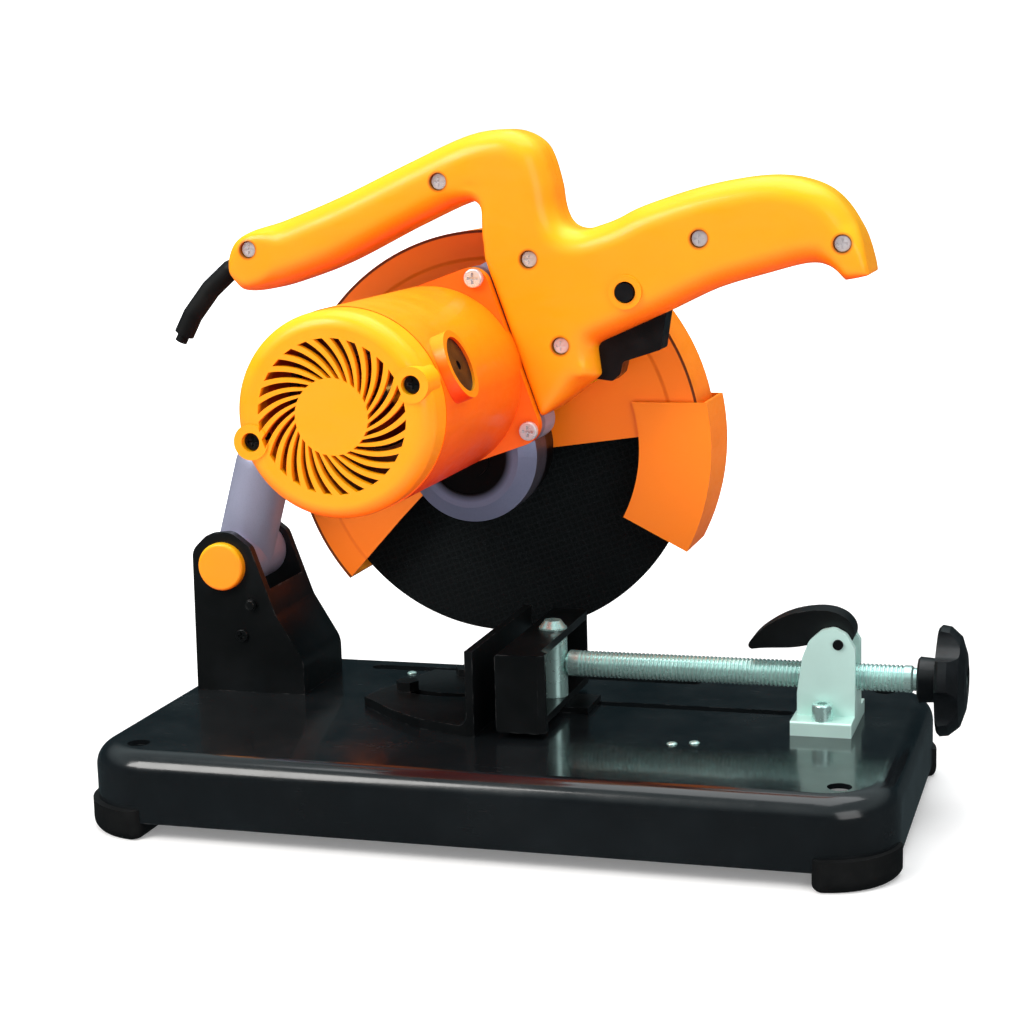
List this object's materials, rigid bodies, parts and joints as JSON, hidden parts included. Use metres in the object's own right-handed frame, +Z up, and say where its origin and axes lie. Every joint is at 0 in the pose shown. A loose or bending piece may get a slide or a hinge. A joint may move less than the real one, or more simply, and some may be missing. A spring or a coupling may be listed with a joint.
{
  "type": "abrasive chop saw",
  "caption": "Small bench chop saw: pressed tray base, hinged motor head with abrasive wheel and guard, swivelling fence and quick-release screw vice.",
  "frame": {"origin": "on the floor under the middle of the base tray", "axes": "+Z up, +X towards the operator and the vice knob, -Y towards the motor end"},
  "size_m": [0.4106, 0.2271, 0.3263],
  "materials": {
    "base_black": "gloss",
    "rubber": "matte",
    "zinc": "satin",
    "screw_chrome": "gloss",
    "cast_alu": "satin",
    "orange_motor": "gloss",
    "orange_cap": "gloss",
    "orange_guard": "gloss",
    "black_plastic": "matte",
    "steel": "satin",
    "copper": "satin",
    "brass": "satin",
    "carbon": "matte",
    "abrasive": "matte"
  },
  "bodies": {
    "base": {"base_plate": "base_black", "rubber_feet": "rubber", "pivot_bracket": "base_black", "bracket_bolts": "zinc", "pivot_pin": "zinc", "pivot_caps": "orange_cap", "stop_bolt": "base_black", "fence_pivot_bolt": "base_black", "fence_clamp_bolt": "base_black", "vise_bracket": "cast_alu", "vise_bracket_bolts": "zinc", "lever_pin": "base_black"},
    "head": {"gear_case_arm": "cast_alu", "bearing_plate": "cast_alu", "motor_housing": "orange_motor", "flange_screws": "screw_chrome", "brush_caps": "black_plastic", "brush_holders": "brass", "carbon_brushes": "carbon", "motor_end_cap": "orange_cap", "end_cap_screws": "base_black", "stator_core": "steel", "field_windings": "copper", "armature_bearings": "steel", "spindle_bearings": "steel", "wheel_guard": "orange_guard", "guard_side_cover": "orange_guard", "guard_cover_screws": "zinc", "guard_clamp_screws": "zinc", "handle_shell_near": "orange_cap", "handle_shell_far": "orange_cap", "handle_screws": "screw_chrome", "switch_module": "black_plastic", "cord_guard": "rubber", "power_cable": "rubber"},
    "wheel_drive": {"drive_gear": "steel", "spindle": "steel", "inner_flange": "steel", "outer_flange": "steel", "wheel_bolt": "screw_chrome", "abrasive_wheel": "abrasive"},
    "armature": {"armature_shaft": "steel", "armature_core": "steel", "armature_windings": "copper", "commutator": "copper", "cooling_fan": "black_plastic"},
    "spark_guard": {"spark_guard": "orange_guard"},
    "trigger": {"trigger": "black_plastic"},
    "lock_button": {"lock_on_button": "black_plastic"},
    "fence": {"fence": "base_black"},
    "vise_carrier": {"jaw_barrel": "zinc", "jaw_slide_plate": "base_black", "jaw_bolt": "zinc"},
    "jaw": {"vise_jaw": "base_black"},
    "screw": {"vise_screw": "zinc", "vise_knob": "black_plastic", "knob_nut": "zinc"},
    "lever": {"quick_release_lever": "base_black"},
    "half_nut": {"half_nut": "zinc"},
    "lock_pin": {"transport_lock_pin": "base_black"}
  },
  "joints": [
    {"name": "head_pivot", "type": "hinge", "parent": "base", "child": "head", "pos_m": [-0.165, 0.044, 0.108], "axis": [0, 1, 0], "range_deg": [0, 12.5], "stiffness_Nm_per_rad": 6, "springref_deg": -20.05},
    {"name": "wheel_spin", "type": "hinge", "parent": "head", "child": "wheel_drive", "pos_m": [-0.0305, 0.08, 0.1675], "axis": [0, 1, 0], "continuous": true},
    {"name": "armature_spin", "type": "hinge", "parent": "head", "child": "armature", "pos_m": [-0.0469, 0, 0.20616], "axis": [0, 1, 0], "continuous": true},
    {"name": "spark_guard_turn", "type": "hinge", "parent": "head", "child": "spark_guard", "pos_m": [-0.0305, 0.08, 0.1675], "axis": [0, 1, 0], "range_deg": [-45, 0]},
    {"name": "trigger_squeeze", "type": "hinge", "parent": "head", "child": "trigger", "pos_m": [0.0308, 0.038, 0.2195], "axis": [0, 1, 0], "range_deg": [-7, 0], "stiffness_Nm_per_rad": 0.2, "springref_deg": 1.15},
    {"name": "lock_button_push", "type": "slide", "parent": "head", "child": "lock_button", "axis": [0, 1, 0], "range_m": [0, 0.003], "stiffness_N_per_m": 150, "springref_m": -0.001},
    {"name": "fence_swivel", "type": "hinge", "parent": "base", "child": "fence", "pos_m": [-0.046, 0.055, 0.046], "axis": [0, 0, 1], "range_deg": [-45, 0]},
    {"name": "vise_slide", "type": "slide", "parent": "base", "child": "vise_carrier", "axis": [1, 0, 0], "range_m": [-0.003, 0.085]},
    {"name": "jaw_swivel", "type": "hinge", "parent": "vise_carrier", "child": "jaw", "pos_m": [0.0122, 0.017, 0.06], "axis": [0, 0, 1], "range_deg": [-5, 5]},
    {"name": "screw_turn", "type": "hinge", "parent": "vise_carrier", "child": "screw", "pos_m": [0.1, 0.017, 0.065], "axis": [1, 0, 0], "range_deg": [-540, 15300]},
    {"name": "quick_release", "type": "hinge", "parent": "base", "child": "lever", "pos_m": [0.1556, 0.017, 0.0832], "axis": [0, 1, 0], "range_deg": [0, 75]},
    {"name": "half_nut_lift", "type": "slide", "parent": "base", "child": "half_nut", "axis": [0, 0, 1], "range_m": [0, 0.0035]},
    {"name": "lock_pin_push", "type": "slide", "parent": "base", "child": "lock_pin", "axis": [0, 1, 0], "range_m": [-0.006, 0]}
  ],
  "couplings": [
    {"joint": "armature_spin", "follows": "wheel_spin", "ratio": -2.2941},
    {"joint": "screw_turn", "follows": "vise_slide", "rad_per_m": 3141.6},
    {"joint": "half_nut_lift", "follows": "quick_release", "m_per_rad": 0.0026738}
  ]
}
